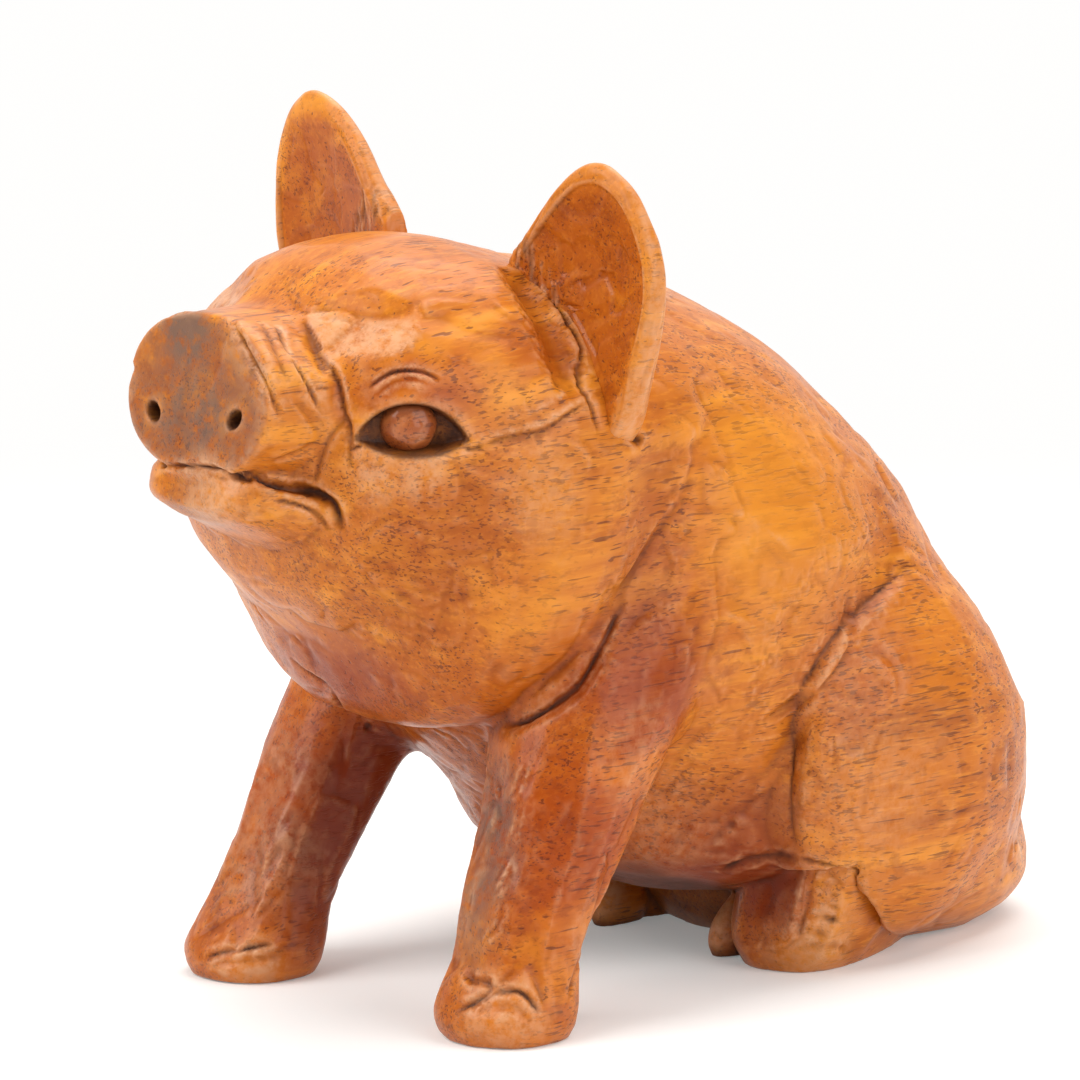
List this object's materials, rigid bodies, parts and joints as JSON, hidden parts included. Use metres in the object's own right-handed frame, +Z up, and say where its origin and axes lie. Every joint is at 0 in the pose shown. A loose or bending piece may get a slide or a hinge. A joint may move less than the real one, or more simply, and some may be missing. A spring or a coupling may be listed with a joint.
{
  "type": "wooden pig figurine",
  "caption": "Small hand-carved wooden pig that sits upright on its haunches, with a flat round snout and raised ears, for a shelf or desk.",
  "frame": {"origin": "on the ground, under the middle of the pig's length and width", "axes": "+Z up; the pig faces -Y and its left side is +X"},
  "size_m": [0.0577, 0.1093, 0.092],
  "materials": {
    "waxed_wood": "hand-carved orange-brown hardwood with fine dark pores, rubbed with wax, darker in the cuts",
    "eye_wood": "the same wood stained darker, satin",
    "bamboo": "plain split bamboo, hidden"
  },
  "bodies": {
    "root": {"carved_body": "waxed_wood", "ear_left": "waxed_wood", "ear_right": "waxed_wood", "ear_pin_left": "bamboo", "ear_pin_right": "bamboo", "eye_left": "eye_wood", "eye_right": "eye_wood", "tail": "waxed_wood"}
  },
  "joints": []
}
